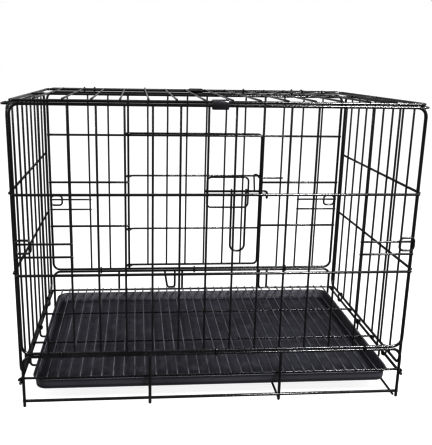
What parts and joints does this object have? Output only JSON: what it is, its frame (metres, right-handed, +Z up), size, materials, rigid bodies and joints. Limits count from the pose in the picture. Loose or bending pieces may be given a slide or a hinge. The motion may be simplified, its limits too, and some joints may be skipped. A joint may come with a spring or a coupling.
{
  "type": "folding wire dog crate",
  "caption": "Folding wire dog crate with a hinged lid, a side door with a slide bolt, a welded floor grid and a slide-out plastic tray, all in black coated wire.",
  "frame": {"origin": "on the ground under the middle of the crate's overall width and depth", "axes": "+X along the long panels to the right seen from the back, +Y towards the door side, +Z up"},
  "size_m": [0.6318, 0.4235, 0.4776],
  "materials": {
    "coated_wire": "gloss black coating over steel wire",
    "tray_plastic": "satin",
    "catch_plastic": "gloss"
  },
  "bodies": {
    "base": {"back_base_hoop": "coated_wire", "front_base_hoop": "coated_wire", "left_base_rail": "coated_wire", "right_base_rail": "coated_wire", "floor_grid": "coated_wire", "back_tray_runner": "coated_wire", "front_tray_runner": "coated_wire", "left_ground_tie": "coated_wire", "middle_ground_tie": "coated_wire", "right_ground_tie": "coated_wire", "back_hinge_ring_left": "coated_wire", "back_hinge_ring_middle": "coated_wire", "back_hinge_ring_right": "coated_wire", "front_hinge_ring_left": "coated_wire", "front_hinge_ring_middle": "coated_wire", "front_hinge_ring_right": "coated_wire", "left_hinge_ring_back": "coated_wire", "left_hinge_ring_front": "coated_wire", "right_hinge_ring_back": "coated_wire", "right_hinge_ring_front": "coated_wire"},
    "tray": {"tray": "tray_plastic"},
    "left_side": {"left_side_panel": "coated_wire"},
    "right_side": {"right_side_panel": "coated_wire"},
    "back": {"back_panel": "coated_wire", "back_left_corner_catch": "coated_wire", "back_right_corner_catch": "coated_wire"},
    "front": {"front_panel": "coated_wire", "front_left_corner_catch": "coated_wire", "front_right_corner_catch": "coated_wire", "door_keeper": "coated_wire", "lid_hinge_clip_left": "coated_wire", "lid_hinge_clip_middle": "coated_wire", "lid_hinge_clip_right": "coated_wire"},
    "hinge_rod": {"lid_hinge_rod": "coated_wire"},
    "lid": {"lid": "coated_wire", "lid_catch": "catch_plastic"},
    "door": {"door": "coated_wire", "bolt_guide": "coated_wire"},
    "bolt": {"bolt": "coated_wire"},
    "handle": {"bolt_handle": "coated_wire"}
  },
  "joints": [
    {"name": "left_side_fold", "type": "hinge", "parent": "base", "child": "left_side", "pos_m": [-0.3045, 0, 0.0525], "axis": [0, 1, 0], "range_deg": [0, 90]},
    {"name": "right_side_fold", "type": "hinge", "parent": "base", "child": "right_side", "pos_m": [0.3045, 0, 0.0525], "axis": [0, -1, 0], "range_deg": [0, 87.5]},
    {"name": "back_fold", "type": "hinge", "parent": "base", "child": "back", "pos_m": [0, -0.2051, 0.09], "axis": [-1, 0, 0], "range_deg": [0, 91.5]},
    {"name": "front_fold", "type": "hinge", "parent": "base", "child": "front", "pos_m": [0, 0.1949, 0.09], "axis": [1, 0, 0], "range_deg": [0, 87]},
    {"name": "lid_wrap", "type": "hinge", "parent": "front", "child": "hinge_rod", "pos_m": [0, 0.2003, 0.4665], "axis": [1, 0, 0], "range_deg": [-226.5, 0]},
    {"name": "lid_open", "type": "hinge", "parent": "hinge_rod", "child": "lid", "pos_m": [0, 0.2003, 0.4665], "axis": [1, 0, 0], "range_deg": [-180, 0]},
    {"name": "door_open", "type": "hinge", "parent": "front", "child": "door", "pos_m": [-0.14, 0.1949, 0.24], "axis": [0, 0, -1], "range_deg": [-130, 0]},
    {"name": "bolt_slide", "type": "slide", "parent": "door", "child": "bolt", "axis": [-1, 0, 0], "range_m": [0, 0.028]},
    {"name": "handle_turn", "type": "hinge", "parent": "bolt", "child": "handle", "pos_m": [0.0935, 0.2063, 0.2575], "axis": [-1, 0, 0], "range_deg": [-90, 0]},
    {"name": "tray_slide", "type": "slide", "parent": "base", "child": "tray", "axis": [0, 1, 0], "range_m": [0, 0.36]}
  ],
  "couplings": [
    {"joint": "lid_wrap", "follows": "front_fold", "ratio": -2.6}
  ]
}
